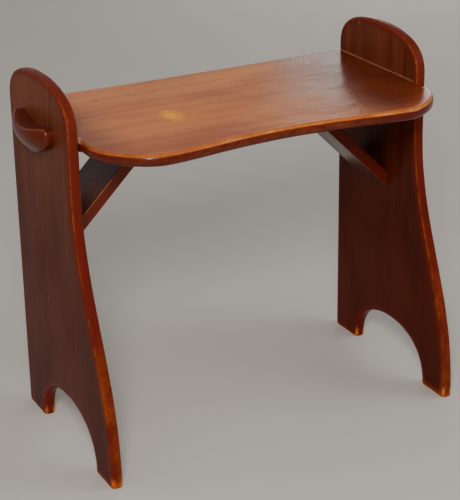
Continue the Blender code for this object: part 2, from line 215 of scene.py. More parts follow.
def trace(knots, count):
    """Points round a closed chain of cubic stretches, a(1-t)^3 + 3b(1-t)^2 t + 3c(1-t)t^2 + dt^3.

    A knot is (point, arriving handle, leaving handle), and a stretch with no handle is straight. The points
    are spaced evenly by the length plus a share of the turning, so that they crowd where the chain turns.
    """
    t = np.linspace(0, 1, STRETCH_SAMPLES)[:, None]
    runs = []
    for (start, _, leaving), (end, arriving, _) in zip(knots, knots[1:] + knots[:1]):
        a, d = np.array(start, float), np.array(end, float)
        b = a + (d - a) / 3 if leaving is None else np.array(leaving, float)
        c = d - (d - a) / 3 if arriving is None else np.array(arriving, float)
        runs.append(a * (1 - t) ** 3 + 3 * b * (1 - t) ** 2 * t + 3 * c * (1 - t) * t**2 + d * t**3)
    dense = np.concatenate([run[:-1] for run in runs] + [runs[-1][-1:]])
    step = np.diff(dense, axis=0)
    heading = np.unwrap(np.arctan2(step[:, 1], step[:, 0]))
    turn = np.abs(np.gradient(heading))
    along = np.concatenate([[0], np.cumsum(np.hypot(step[:, 0], step[:, 1]) + TURN_CROWDING * turn)])
    wanted = np.linspace(0, along[-1], count + 1)[:-1]
    return np.stack([np.interp(wanted, along, dense[:, k]) for k in (0, 1)], axis=1)


def corner(point, before, after, radius):
    """Two knots that round a square corner between the directions of its neighbours."""
    point = np.array(point, float)
    back = np.array(before, float) - point
    on = np.array(after, float) - point
    back *= 1 / np.linalg.norm(back)
    on *= 1 / np.linalg.norm(on)
    reach = 0.55 * radius
    first, second = point + back * radius, point + on * radius
    return [(first, None, first - back * reach), (second, second - on * reach, None)]


def mirrored(knots):
    """The same chain run backwards and turned over about the first axis."""

    def flip(p):
        return None if p is None else (-p[0], p[1])

    return [(flip(point), flip(leaving), flip(arriving)) for point, arriving, leaving in reversed(knots)]


def end_board_outline(sizes):
    """An end board's outline in (y, z): up the front edge, over the top, down the back and round the arch.

    The curves' handles are set as shares of the board's own sizes.
    """
    low = -FOOT_EASE
    toe = sizes.edge_radius + TOE_SPARE
    neck_y = BACK_Y - sizes.neck_depth
    neck_z = SEAT_Z - sizes.neck_drop
    shoulder_z = SEAT_Z + sizes.shoulder_rise
    top_z = BOARD_HIGH.z
    middle_y = (neck_y + BACK_Y) / 2
    arch_back = BACK_Y - sizes.back_foot
    arch_front = arch_back - sizes.arch_width
    arch_middle = (arch_back + arch_front) / 2
    arch_top = sizes.arch_height
    front_toe = corner((FOOT_FRONT_Y, low), (arch_front, low), (FOOT_FRONT_Y, neck_z), toe)
    back_toe = corner((BACK_Y, low), (BACK_Y, neck_z), (arch_back, low), toe)
    back_heel = corner((arch_back, low), (BACK_Y, low), (arch_back, arch_top), toe)
    front_heel = corner((arch_front, low), (arch_front, arch_top), (FOOT_FRONT_Y, low), toe)
    shoulder = shoulder_z + 0.66 * (top_z - shoulder_z)
    crown = 0.33 * sizes.neck_depth
    spring = 0.66 * arch_top
    flat = 0.29 * sizes.arch_width
    front_toe[1] = (*front_toe[1][:2], (FOOT_FRONT_Y - 0.002, 0.43 * neck_z))
    back_heel[1] = (*back_heel[1][:2], (arch_back, spring))
    front_heel[0] = (front_heel[0][0], (arch_front, spring), front_heel[0][2])
    knots = [
        *front_toe,
        ((neck_y, neck_z), (neck_y, 0.61 * neck_z), None),
        ((neck_y, shoulder_z), None, (neck_y, shoulder)),
        ((middle_y, top_z), (middle_y - crown, top_z), (middle_y + crown, top_z)),
        ((BACK_Y, shoulder_z), (BACK_Y, shoulder), None),
        *back_toe,
        *back_heel,
        ((arch_middle, arch_top), (arch_middle + flat, arch_top), (arch_middle - flat, arch_top)),
        *front_heel,
    ]
    return trace(knots, BOARD_POINTS)


def seat_outline(sizes, neck_depth):
    """The seat's outline in (x, y): the scalloped front from left to right, and the bowed back."""
    end = INNER_X - GLUE_GAP
    lobe_x = INNER_X - sizes.lobe_inset
    lobe_y = SEAT_LOW.y
    waist_y = lobe_y + sizes.waist
    corner_y = BACK_Y - neck_depth - sizes.corner_reach
    drop = lobe_y - corner_y
    right = [
        ((lobe_x, lobe_y), (0.77 * lobe_x, lobe_y), (lobe_x + 0.45 * (end - lobe_x), lobe_y)),
        ((end, corner_y), (end, corner_y + 0.43 * drop), None),
        *corner((end, SEAT_HIGH.y), (end, 0), (0, SEAT_HIGH.y), sizes.edge_radius + CORNER_SPARE),
    ]
    waist = ((0, waist_y), (-0.46 * lobe_x, waist_y), (0.46 * lobe_x, waist_y))
    bowed = SEAT_HIGH.y - sizes.back_bow
    back = ((0, bowed), (0.5 * end, bowed), (-0.5 * end, bowed))
    return trace([waist, *right, back, *mirrored(right)], BOARD_POINTS)


def brace_section(radius):
    """A brace's rounded rectangle as (y, across its thickness), centred on its middle."""
    wide, thick = (BRACE_HIGH.y - BRACE_LOW.y) / 2, THICKNESS / 2
    points = [(-wide, -thick), (wide, -thick), (wide, thick), (-wide, thick)]
    knots = []
    for number, point in enumerate(points):
        knots += corner(point, points[number - 1], points[(number + 1) % 4], radius)
    return trace(knots, BRACE_POINTS)


def handle_outline(sizes):
    """A handle's outline in (y, z): over its sagging top from the front tip, and back under its belly."""
    half = (HANDLE_HIGH.y - HANDLE_LOW.y) / 2
    middle_y = (HANDLE_HIGH.y + HANDLE_LOW.y) / 2
    top, low = HANDLE_HIGH.z, HANDLE_LOW.z
    height = top - low
    sagged = top - sizes.sag
    widest = top - 0.36 * height
    upper, lower = widest + 0.15 * height, widest - 0.20 * height
    knots = [
        ((-half, widest), (-half, lower), (-half, upper)),
        ((-0.86 * half, top), (-0.95 * half, top), (-0.70 * half, top)),
        ((0, sagged), (-0.35 * half, sagged), (0.35 * half, sagged)),
        ((0.86 * half, top), (0.70 * half, top), (0.95 * half, top)),
        ((half, widest), (half, upper), (half, lower)),
        ((0, low), (0.55 * half, low), (-0.55 * half, low)),
    ]
    return trace(knots, HANDLE_POINTS) + (middle_y, 0)


# ---------------------------------------------------------------- surfaces


def inset(outline, amount):
    """The closed outline moved inwards, at each point along (n1 + n2) / (1 + n1.n2) of its two edges."""
    ahead = np.roll(outline, -1, axis=0) - outline
    ahead /= np.linalg.norm(ahead, axis=1, keepdims=True)
    x, y = outline.T
    turning = np.sign(np.sum(x * np.roll(y, -1) - y * np.roll(x, -1)))
    normal = np.stack([-ahead[:, 1], ahead[:, 0]], axis=1) * turning
    before = np.roll(normal, 1, axis=0)
    mitre = (normal + before) / (1 + np.sum(normal * before, axis=1, keepdims=True))
    return outline + mitre * np.reshape(amount, (-1, 1))


def nearest_gap(points, outline):
    """Distance from each point to the closest outline point, and if it is inside by the even-odd rule."""
    away = np.linalg.norm(points[:, None] - outline[None], axis=2).min(axis=1)
    a, b = outline[None], np.roll(outline, -1, axis=0)[None]
    x, y = points[:, :1], points[:, 1:]
    crosses = (a[..., 1] > y) != (b[..., 1] > y)
    rise = np.where(crosses, b[..., 1] - a[..., 1], 1)
    left = x < a[..., 0] + (y - a[..., 1]) * (b[..., 0] - a[..., 0]) / rise
    return away, np.sum(crosses & left, axis=1) % 2 == 1


def filled(outline, spacing):
    """A closed outline filled with triangles, over a square grid of points that keeps clear of its edge."""
    low, high = outline.min(axis=0), outline.max(axis=0)
    axes = [np.arange(a + spacing / 2, b, spacing) for a, b in zip(low, high)]
    grid = np.stack(np.meshgrid(*axes), axis=-1).reshape(-1, 2)
    away, inside = nearest_gap(grid, outline)
    grid = grid[inside & (away > 0.6 * spacing)]
    points = np.concatenate([outline, grid])
    loop = [list(range(len(outline)))]
    found, _, faces, *_ = delaunay_2d_cdt(points.tolist(), [], loop, 1, 1e-7)
    return np.array(found), np.array(faces)


def quads(rows):
    """Faces between neighbouring rows of point numbers. A row is closed if its last number is its first."""
    return np.stack([rows[:-1, :-1], rows[:-1, 1:], rows[1:, 1:], rows[1:, :-1]], axis=-1).reshape(-1, 4)


def ring_quads(rings, count):
    rows = np.arange(rings * count).reshape(rings, count)
    return quads(np.concatenate([rows, rows[:, :1]], axis=1))


def wave(points, size, seed):
    """Smooth unevenness from -1 to 1: a mean of four sines across the points at wavelengths near size."""
    rng = np.random.default_rng(seed)
    turn = rng.uniform(0, 2 * np.pi, 4)
    bearing = np.stack([np.cos(turn), np.sin(turn)])
    pitch = 2 * np.pi / (size * rng.uniform(0.6, 1.6, 4))
    return np.mean(np.sin(points @ bearing * pitch + rng.uniform(0, 6.28, 4)), axis=1)


def rounded_slab(loop, half, radius):
    """A slab as (outline point, height, arris, rim) of each vertex, and its faces.

    At angle a of its rounding a ring lies r(1 - cos a) inside the outline and at height h - r(1 - sin a),
    and each flat face fills its last ring. Arris is sin 2a on the rounding and 0 elsewhere. Rim is 1 on the
    edge and fades over the flat face as exp(-d / RIM_FADE).
    """
    count = len(loop)
    radius = np.broadcast_to(np.reshape(radius, (-1, 1)), (count, 1))
    angle = np.linspace(0, np.pi / 2, 8)
    inward = [0 * radius] + [radius * (1 - np.cos(a)) for a in angle] + [radius + SUPPORT]
    rising = [half - radius * (1 - np.sin(a)) for a in angle]
    height = [half - radius - SUPPORT] + rising + [half + 0 * radius]
    arris = np.concatenate([[0], np.sin(2 * angle), [0]])
    rings = [inset(loop, amount) for amount in inward]
    flat, triangles = filled(rings[-1], FACE_GRID)
    rim = np.exp(-nearest_gap(flat, rings[-1])[0] / RIM_FADE)
    place = np.concatenate([*rings[::-1], loop, *rings, flat, flat])
    total = count * (2 * len(rings) + 1)
    level = np.concatenate(
        [-h[:, 0] for h in height[::-1]]
        + [np.zeros(count)]
        + [h[:, 0] for h in height]
        + [np.full(len(flat), -half), np.full(len(flat), half)]
    )
    shine = np.repeat(np.concatenate([arris[::-1], [0], arris]), count)
    faces = [ring_quads(2 * len(rings) + 1, count), triangles + total, triangles + total + len(flat)]
    marks = np.concatenate([shine, np.zeros(2 * len(flat))]), np.concatenate([np.ones(total), rim, rim])
    return place, level, *marks, faces


def carved_block(loop, reach, radius):
    """A carved block against a board, as (outline point, height, arris) of each vertex, and its faces.

    The side wall rises from the board to reach(point) less r, the rim turns in by r(1 - cos a) while it
    rises by r sin a, and the outer face lies on reach itself.
    """
    count = len(loop)
    low = reach(inset(loop, radius)) - radius
    rings = [(SUPPORT, 0 * low, 0), (0, 0 * low, 0), (0, 0 * low + SUPPORT, 0), (0, 0.5 * low, 0)]
    for a in np.linspace(0, np.pi / 2, 9):
        rings.append((radius * (1 - np.cos(a)), low + radius * np.sin(a), np.sin(2 * a)))
    points = [inset(loop, amount) for amount, _, _ in rings]
    back, back_faces = filled(points[0], 4 * CARVED_GRID)
    outer, outer_faces = filled(points[-1], CARVED_GRID)
    total = count * len(points)
    place = np.concatenate([*points, back, outer])
    level = np.concatenate([*[h for _, h, _ in rings], np.zeros(len(back)), reach(outer)])
    shine = np.repeat([shine for _, _, shine in rings], count)
    arris = np.concatenate([shine, np.zeros(len(back) + len(outer))])
    faces = [ring_quads(len(points), count), back_faces + total, outer_faces + total + len(back)]
    return place, level, arris, faces


def leaning_bar(section, start, end):
    """A section (y, n) carried up a 45 degree line and cut off upright at its foot and level at its top.

    The section's n runs square to the line in the XZ plane, so a point at n starts n sqrt(2) above start on
    the upright cut, and ends n sqrt(2) beyond end on the level cut.
    """
    flat, triangles = filled(section, FACE_GRID)
    feet, tops = [], []
    for part in (section, flat):
        y, slant = part[:, 0], part[:, 1] * math.sqrt(2)
        feet.append(np.column_stack([np.full(len(part), start[0]), y, start[1] + slant]))
        tops.append(np.column_stack([end[0] + slant, y, np.full(len(part), end[1])]))
    along = np.linspace(0, 1, BRACE_ROWS)[:, None, None]
    walls = (feet[0] + (tops[0] - feet[0]) * along).reshape(-1, 3)
    total = BRACE_ROWS * len(section)
    faces = [ring_quads(BRACE_ROWS, len(section)), triangles + total, triangles + total + len(flat)]
    points = np.concatenate([walls, feet[1], tops[1]])
    return points, np.concatenate([np.tile(section, (BRACE_ROWS, 1)), flat, flat]), faces


def screw_surface(head, shank, tip, slot):
    """A raised slotted screw head on a tapering shank, as (x, y, depth) points and faces.

    The head is a square grid pressed into a disc, x = a sqrt(1 - b^2/2) and y = b sqrt(1 - a^2/2), raised as
    a shallow dome less the slot. Rings of the disc's rim carry the cone and the shank down to the tip.
    """
    brim, crown, slot_floor, slot_lip = 0.00030, 0.00055, 0.00018, 0.00006
    steps = np.linspace(-1, 1, 29)
    a, b = np.meshgrid(steps, steps, indexing="ij")
    x, y = a * np.sqrt(1 - b**2 / 2), b * np.sqrt(1 - a**2 / 2)
    out = np.sqrt(np.clip(x**2 + y**2, 0, 1))
    dome = brim + crown * (1 - out**2)
    groove = 1 / (1 + np.exp((np.abs(x) * head - slot / 2) / slot_lip))
    depth = -(dome + (slot_floor - dome) * groove)
    grid = np.arange(a.size).reshape(a.shape)
    rim = np.concatenate([grid[:-1, 0], grid[-1, :-1], grid[:0:-1, -1], grid[0, :0:-1]])
    disc = np.stack([x * head, y * head, depth], axis=-1).reshape(-1, 3)
    unit = disc[rim, :2] / head
    cone = [(head, 0.0002), (shank, 0.0028)]
    profile = cone + [(shank, tip - 0.005), (0.3 * shank, tip - 0.0003), (0, tip)]
    rings = [np.column_stack([unit * r, np.full(len(rim), d)]) for r, d in profile]
    numbers = [rim] + [len(disc) + k * len(rim) + np.arange(len(rim)) for k in range(len(rings))]
    rows = np.stack([np.append(row, row[0]) for row in numbers])
    return np.concatenate([disc, *rings]), [quads(grid), quads(rows)]


def make_piece(name, points, faces, marks, replaced, material):
    """A finished piece from arrays: doubled points are merged and its faces are turned outwards."""
    mesh = bpy.data.meshes.new(name)
    mesh.from_pydata(points.tolist(), [], [face for group in faces for face in group.tolist()])
    for label, values in marks.items():
        layer = mesh.attributes.new(label, "FLOAT", "POINT")
        layer.data.foreach_set("value", np.ascontiguousarray(values, np.float32))
    bm = bmesh.new()
    bm.from_mesh(mesh)
    bmesh.ops.remove_doubles(bm, verts=bm.verts, dist=MERGE)
    bmesh.ops.dissolve_degenerate(bm, edges=bm.edges, dist=MERGE / 2)
    bmesh.ops.recalc_face_normals(bm, faces=bm.faces)
    bm.to_mesh(mesh)
    bm.free()
    mesh.shade_smooth()
    mesh.set_sharp_from_angle(angle=SHARP)
    mesh.materials.append(material)
    piece = bpy.data.objects.new(name, mesh)
    bpy.context.scene.collection.objects.link(piece)
    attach(piece, "root")
    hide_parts(*replaced)
    return piece


# ---------------------------------------------------------------- shader nodes


def feed(tree, socket, value):
    """Link the socket if it is given another one, or else set it to the value."""
    if isinstance(value, bpy.types.NodeSocket):
        tree.links.new(value, socket)
    else:
        socket.default_value = value


def add_node(tree, kind, inputs, **settings):
    node = tree.nodes.new(kind)
    for key, value in settings.items():
        setattr(node, key, value)
    for key, value in inputs.items():
        feed(tree, node.inputs[key], value)
    return node


def maths(tree, operation, first, second=0.0, clamp=False):
    node = add_node(tree, "ShaderNodeMath", {0: first, 1: second}, operation=operation, use_clamp=clamp)
    return node.outputs[0]


def times(tree, first, second):
    return maths(tree, "MULTIPLY", first, second)


def weighted(tree, *terms):
    """The sum of value times weight over the terms."""
    total = None
    for value, weight in terms:
        part = value if weight == 1 else times(tree, value, weight)
        total = part if total is None else maths(tree, "ADD", total, part)
    return total


def spread(tree, value, low, high, to_low=0.0, to_high=1.0):
    """The value moved from the range low..high to another range, clamped and smooth at both ends."""
    inputs = {"Value": value, "From Min": low, "From Max": high, "To Min": to_low, "To Max": to_high}
    return add_node(tree, "ShaderNodeMapRange", inputs, interpolation_type="SMOOTHSTEP").outputs["Result"]


def mixed(tree, factor, first, second):
    inputs = {0: factor, 6: first, 7: second}
    return add_node(tree, "ShaderNodeMix", inputs, data_type="RGBA", clamp_factor=True).outputs[2]


def layered(tree, color, *coats):
    """The colour under its coats of (mask, strength, colour), the last one outermost."""
    for mask, strength, coat in coats:
        color = mixed(tree, times(tree, mask, strength), color, coat)
    return color


def stretched_noise(tree, vector, stretch, scale, detail, roughness=0.55, distortion=0.0):
    """Noise drawn out along the grain, which runs along the vector's Z."""
    mapping = add_node(tree, "ShaderNodeMapping", {"Vector": vector, "Scale": (1, 1, stretch)})
    inputs = {
        "Vector": mapping.outputs[0],
        "Scale": scale,
        "Detail": detail,
        "Roughness": roughness,
        "Distortion": distortion,
    }
    return add_node(tree, "ShaderNodeTexNoise", inputs).outputs["Fac"]


def new_group(name, inputs, outputs):
    group = bpy.data.node_groups.new(name, "ShaderNodeTree")
    for label, kind, default in inputs:
        socket = group.interface.new_socket(label, in_out="INPUT", socket_type="NodeSocket" + kind)
        if default is not None:
            socket.default_value = default
    for label, kind in outputs:
        group.interface.new_socket(label, in_out="OUTPUT", socket_type="NodeSocket" + kind)
    return group, group.nodes.new("NodeGroupInput").outputs, group.nodes.new("NodeGroupOutput").inputs


def group_node(tree, name, inputs):
    node = tree.nodes.new("ShaderNodeGroup")
    node.node_tree = bpy.data.node_groups[name]
    for key, value in inputs.items():
        feed(tree, node.inputs[key], value)
    return node.outputs


def build_grain_group():
    """Figure, fibres and stain blotches of one board. The grain runs along the vector's Z."""
    group, given, out = new_group(
        "Stained grain",
        [
            ("Vector", "Vector", None),
            ("Dark", "Color", (0.1, 0.02, 0.01, 1)),
            ("Light", "Color", (0.2, 0.05, 0.02, 1)),
            ("Figure", "Float", 0.5),
            ("Blotches", "Float", 0.5),
        ],
        [("Color", "Color"), ("Height", "Float"), ("Figure", "Float")],
    )
    vector = given["Vector"]
    blotch = stretched_noise(group, vector, 0.45, 9.0, 4.0, 0.6, 0.4)
    figure = stretched_noise(group, vector, 0.055, 42.0, 6.0, 0.62, 0.5)
    band = stretched_noise(group, vector, 0.03, 150.0, 4.0, 0.6, 0.2)
    fibre = stretched_noise(group, vector, 0.022, 620.0, 3.0, 0.7)
    fleck = stretched_noise(group, vector, 0.16, 330.0, 4.0, 0.7)
    pore = stretched_noise(group, vector, 0.07, 1500.0, 2.0, 0.5)
    figure_01 = spread(group, figure, 0.30, 0.70)
    blotch_01 = spread(group, blotch, 0.30, 0.70)
    band_01 = spread(group, band, 0.32, 0.68)
    fibre_01 = spread(group, fibre, 0.25, 0.75)
    fleck_01 = spread(group, fleck, 0.30, 0.70)
    lines = weighted(group, (figure_01, 0.42), (band_01, 0.22), (fibre_01, 0.16), (fleck_01, 0.20))
    fine = maths(group, "SUBTRACT", lines, 0.5)
    wide = maths(group, "SUBTRACT", blotch_01, 0.5)
    tone = weighted(group, (fine, given["Figure"]), (wide, given["Blotches"]))
    tone = maths(group, "ADD", tone, 0.5, clamp=True)
    color = mixed(group, tone, given["Dark"], given["Light"])
    pores = spread(group, pore, 0.56, 0.70, 0.0, 0.45)
    color = mixed(group, pores, color, given["Dark"])
    height = weighted(group, (fibre_01, 0.00004), (band_01, 0.00005), (pores, -0.00006))
    group.links.new(color, out["Color"])
    group.links.new(height, out["Height"])
    group.links.new(figure_01, out["Figure"])


def build_wear_group():
    """Where hands, legs and floors have rubbed the finish thin, and where they have taken it off."""
    group, given, out = new_group(
        "Rubbed edges",
        [("Vector", "Vector", None), ("Rub", "Float", 0.0), ("Amount", "Float", 0.7)],
        [("Thin", "Float"), ("Bare", "Float")],
    )
    broad = stretched_noise(group, given["Vector"], 0.6, 38.0, 5.0, 0.65)
    fine = stretched_noise(group, given["Vector"], 0.5, 260.0, 4.0, 0.7)
    grit = weighted(group, (broad, 0.6), (fine, 0.4))
    pressed = times(group, given["Rub"], given["Amount"])
    pressed = times(group, pressed, spread(group, grit, 0.34, 0.62, 0.35, 1.25))
    group.links.new(spread(group, pressed, 0.06, 0.62), out["Thin"])
    group.links.new(spread(group, pressed, 0.62, 0.92), out["Bare"])


def build_knock_group():
    """Small dents and dark nicks, a few to each hand's breadth."""
    group, given, out = new_group(
        "Knocks",
        [("Vector", "Vector", None), ("Amount", "Float", 0.5)],
        [("Mask", "Float"), ("Height", "Float")],
    )
    place, bend = given["Vector"], (0.006, 0.006, 0.006)
    warp = add_node(group, "ShaderNodeTexNoise", {"Vector": place, "Scale": 160.0, "Detail": 2.0})
    bent = {0: warp.outputs["Color"], 1: bend}
    bent = add_node(group, "ShaderNodeVectorMath", bent, operation="MULTIPLY")
    vector = add_node(group, "ShaderNodeVectorMath", {0: place, 1: bent.outputs[0]}, operation="ADD")
    cells = add_node(group, "ShaderNodeTexVoronoi", {"Vector": vector.outputs[0], "Scale": 26.0})
    parts = add_node(group, "ShaderNodeSeparateColor", {"Color": cells.outputs["Color"]})
    size = spread(group, parts.outputs[0], 0.0, 1.0, 0.02, 0.075)
    near = maths(group, "DIVIDE", cells.outputs["Distance"], size)
    spot = spread(group, near, 0.55, 1.0, 1.0, 0.0)
    wanted = maths(group, "LESS_THAN", parts.outputs[1], times(group, given["Amount"], 0.5))
    mask = times(group, spot, wanted)
    group.links.new(mask, out["Mask"])
    group.links.new(times(group, mask, -0.00035), out["Height"])


def build_varnish_group():
    """The varnish film: how uneven it lies, and how its gloss changes where it was wiped or handled."""
    group, given, out = new_group(
        "Varnish film",
        [("Vector", "Vector", None), ("Gloss", "Float", 0.25), ("Variation", "Float", 0.08)],
        [("Roughness", "Float"), ("Height", "Float")],
    )
    smear = stretched_noise(group, given["Vector"], 0.6, 14.0, 5.0, 0.62, 0.8)
    swell = stretched_noise(group, given["Vector"], 0.5, 11.0, 2.0, 0.5)
    ripple = stretched_noise(group, given["Vector"], 0.35, 75.0, 3.0, 0.5)
    peel = stretched_noise(group, given["Vector"], 1.0, 900.0, 2.0, 0.5)
    change = times(group, spread(group, smear, 0.3, 0.7, -1.0, 1.0), given["Variation"])
    group.links.new(maths(group, "ADD", given["Gloss"], change), out["Roughness"])
    height = weighted(group, (swell, 0.0016), (ripple, 0.00014), (peel, 0.000006))
    group.links.new(height, out["Height"])


# ---------------------------------------------------------------- materials


def bare_material(name):
    material = bpy.data.materials.new(name)
    material.use_nodes = True
    tree = material.node_tree
    tree.nodes.clear()
    shader = tree.nodes.new("ShaderNodeBsdfPrincipled")
    output = tree.nodes.new("ShaderNodeOutputMaterial")
    tree.links.new(shader.outputs[0], output.inputs["Surface"])
    return material, tree, shader


def board_vector(tree, turn, offset):
    """Object coordinates turned so that the grain runs along Z, and moved so that no two boards match."""
    place = add_node(tree, "ShaderNodeTexCoord", {})
    inputs = {"Vector": place.outputs["Object"], "Rotation": turn, "Location": offset}
    return add_node(tree, "ShaderNodeMapping", inputs).outputs[0], place.outputs["Object"]


def mark(tree, label):
    return add_node(tree, "ShaderNodeAttribute", {}, attribute_name=label).outputs["Fac"]


def finish_wood(tree, shader, vector, color, grain_height, worn, gloss, knocks, shine, sheen):
    """Dents, varnish and bump over a stained colour. Worn holds the masks of thin and of missing finish."""
    thin, bare = worn
    dents = group_node(tree, "Knocks", {"Vector": vector, "Amount": knocks})
    film = group_node(tree, "Varnish film", {"Vector": vector, "Gloss": gloss, "Variation": 0.06})
    color = layered(tree, color, (dents["Mask"], 0.55, DENT_DIRT))
    rough = weighted(tree, (film["Roughness"], 1), (thin, 0.06), (bare, 0.22))
    height = weighted(tree, (film["Height"], 1), (grain_height, 1), (dents["Height"], 1), (bare, -0.00008))
    bump = add_node(tree, "ShaderNodeBump", {"Height": height, "Distance": 1.0, "Strength": 1.0})
    tree.links.new(color, shader.inputs["Base Color"])
    tree.links.new(rough, shader.inputs["Roughness"])
    tree.links.new(bump.outputs[0], shader.inputs["Normal"])
    shader.inputs["Specular IOR Level"].default_value = shine
    shader.inputs["Specular Tint"].default_value = sheen


def rgba(color):
    return (*color, 1.0)


def stained_grain(tree, vector, dark, light, figure, blotches=0.5):
    inputs = {"Vector": vector, "Dark": dark, "Light": light, "Figure": figure, "Blotches": blotches}
    return group_node(tree, "Stained grain", inputs)


def rubbed_edges(tree, vector, finish):
    inputs = {"Vector": vector, "Rub": mark(tree, "rub"), "Amount": finish.wear}
    return group_node(tree, "Rubbed edges", inputs)


def stained_board(name, turn, offset, finish, shine, top_light=0.0, edged=0.0, nicks=(), gloss=0.27):
    """Dark red-brown board under varnish: lighter near its top by painted light, redder on its edges, rubbed
    on its arrises.
    """
    material, tree, shader = bare_material(name)
    vector, place = board_vector(tree, turn, offset)
    grain = stained_grain(tree, vector, rgba(finish.board_dark), rgba(finish.board_light), 0.42, 0.60)
    worn = rubbed_edges(tree, vector, finish)
    color = grain["Color"]
    # Painted light: the board lightens towards its top, following its figure.
    if top_light:
        height = add_node(tree, "ShaderNodeSeparateXYZ", {"Vector": place}).outputs["Z"]
        pale = times(tree, spread(tree, height, 0.24, 0.60), maths(tree, "ADD", grain["Figure"], 0.45))
        color = layered(tree, color, (pale, top_light, rgba(finish.board_top_light)))
    if edged:
        lively = maths(tree, "ADD", times(tree, grain["Figure"], 0.4), 0.7)
        lively = times(tree, mark(tree, "edge"), lively)
        color = layered(tree, color, (lively, edged, rgba(finish.board_edge)))
    coats = [(worn["Thin"], 0.8, rgba(finish.worn)), (worn["Bare"], 0.8, rgba(finish.bare))]
    for y, z in nicks:
        coats.append((patch(tree, place, (0, y, z), (None, 0.0016, 0.0030), 1.2, 0.4), 0.40, OLD_NICK))
    color = layered(tree, color, *coats)
    masks = worn["Thin"], worn["Bare"]
    height = grain["Height"]
    finish_wood(tree, shader, vector, color, height, masks, gloss, finish.knocks, shine, BOARD_SHEEN)
    return material


def patch(tree, place, centre, half, warp, soft):
    """1 inside an uneven oval and 0 outside it. A half size of None lets the oval run through that axis."""
    scale = [0 if h is None else 1 / h for h in half]
    inputs = {"Vector": place, "Location": [-c * k for c, k in zip(centre, scale)], "Scale": scale}
    local = add_node(tree, "ShaderNodeMapping", inputs).outputs[0]
    away = add_node(tree, "ShaderNodeVectorMath", {0: local}, operation="LENGTH").outputs["Value"]
    ragged = add_node(tree, "ShaderNodeTexNoise", {"Vector": place, "Scale": 95.0, "Detail": 4.0})
    ragged = maths(tree, "SUBTRACT", ragged.outputs["Fac"], 0.5)
    return spread(tree, weighted(tree, (away, 1), (ragged, warp)), 1.0 - soft, 1.0 + soft, 1.0, 0.0)


def seat_wood(finish):
    """Lighter stained seat: ends darkened by deeper stain and painted shade, its lower edge and underside
    darkened as painted shade, a pale line painted as a highlight along its joints, a rubbed front edge, a
    golden patch, and a few small dark marks.
    """
    material, tree, shader = bare_material("seat_stained_maple")
    vector, place = board_vector(tree, (0, math.radians(90), 0), (0.31, 0.17, 0.0))
    grain = stained_grain(tree, vector, rgba(finish.seat_dark), rgba(finish.seat_light), 0.85, 0.75)
    worn = rubbed_edges(tree, vector, finish)
    mottle = stretched_noise(tree, vector, 0.45, 130.0, 5.0, 0.7)
    dyed = times(tree, mark(tree, "side"), spread(tree, mottle, 0.36, 0.64, 1.0, 0.85))
    # Painted highlight along the seat's joints with the end boards, broken up by noise.
    broken = stretched_noise(tree, vector, 0.5, 300.0, 3.0, 0.6)
    seam_highlight = times(tree, mark(tree, "seam_highlight"), spread(tree, broken, 0.30, 0.48, 0.35, 0.9))
    gilded = []
    for centre, half, warp, soft, strength, gold in GOLDEN_PATCH:
        gilded.append((patch(tree, place, (*centre, 0), (*half, None), warp, soft), strength, gold))
    spots = []
    for centre, half in SEAT_SPOTS:
        spots.append((patch(tree, place, (*centre, 0), (*half, None), 0.6, 0.5), 0.55, DARK_SPOT))
    color = layered(
        tree,
        grain["Color"],
        # deeper stain and painted shade towards the seat's ends
        (mark(tree, "stain_and_painted_shade"), 0.90, STAIN_AND_PAINTED_SHADE),
        (mark(tree, "fade"), 0.80, ORANGE_STAIN),
        (dyed, 1.00, rgba(finish.seat_edge)),
        # painted shade: the seat's lower edge and underside darkened
        (mark(tree, "under"), 0.80, rgba(finish.board_dark)),
        (seam_highlight, 1.00, PAINTED_SEAM_HIGHLIGHT),
        (worn["Thin"], 0.90, RUBBED_STAIN),
        (worn["Bare"], 0.70, rgba(finish.bare)),
        *gilded,
        *spots,
    )
    masks, height = (worn["Thin"], gilded[1][0]), grain["Height"]
    finish_wood(tree, shader, vector, color, height, masks, 0.20, finish.knocks, 0.30, SEAT_SHEEN)
    return material


def birch_dowel():
    """Bare turned dowel with fine lengthwise fibres."""
    material, tree, shader = bare_material("dowel_birch")
    vector, _ = board_vector(tree, (0, 0, 0), (0, 0, 0))
    grain = stained_grain(tree, vector, BIRCH_DARK, BIRCH_LIGHT, 0.8)
    tree.links.new(grain["Color"], shader.inputs["Base Color"])
    bump = add_node(tree, "ShaderNodeBump", {"Height": grain["Height"], "Distance": 1.0})
    tree.links.new(bump.outputs[0], shader.inputs["Normal"])
    shader.inputs["Roughness"].default_value = 0.7
    return material


def plain_noise(tree, scale, detail):
    """Noise of the same size in every direction, fixed to the object."""
    place = add_node(tree, "ShaderNodeTexCoord", {}).outputs["Object"]
    inputs = {"Vector": place, "Scale": scale, "Detail": detail}
    return add_node(tree, "ShaderNodeTexNoise", inputs).outputs["Fac"]


def dulled_steel():
    """Old screw steel: uneven tarnish and a little rust."""
    material, tree, shader = bare_material("screw_steel_dulled")
    tarnish = plain_noise(tree, 420.0, 5.0)
    rusted = spread(tree, plain_noise(tree, 900.0, 4.0), 0.56, 0.66)
    color = mixed(tree, spread(tree, tarnish, 0.35, 0.65), STEEL_DARK, STEEL_LIGHT)
    color = layered(tree, color, (rusted, 0.7, RUST))
    bump = add_node(tree, "ShaderNodeBump", {"Height": times(tree, tarnish, 0.00002), "Distance": 1.0})
    tree.links.new(color, shader.inputs["Base Color"])
    tree.links.new(maths(tree, "SUBTRACT", 1.0, times(tree, rusted, 0.8)), shader.inputs["Metallic"])
    tree.links.new(spread(tree, tarnish, 0.3, 0.7, 0.5, 0.28), shader.inputs["Roughness"])
    tree.links.new(bump.outputs[0], shader.inputs["Normal"])
    return material


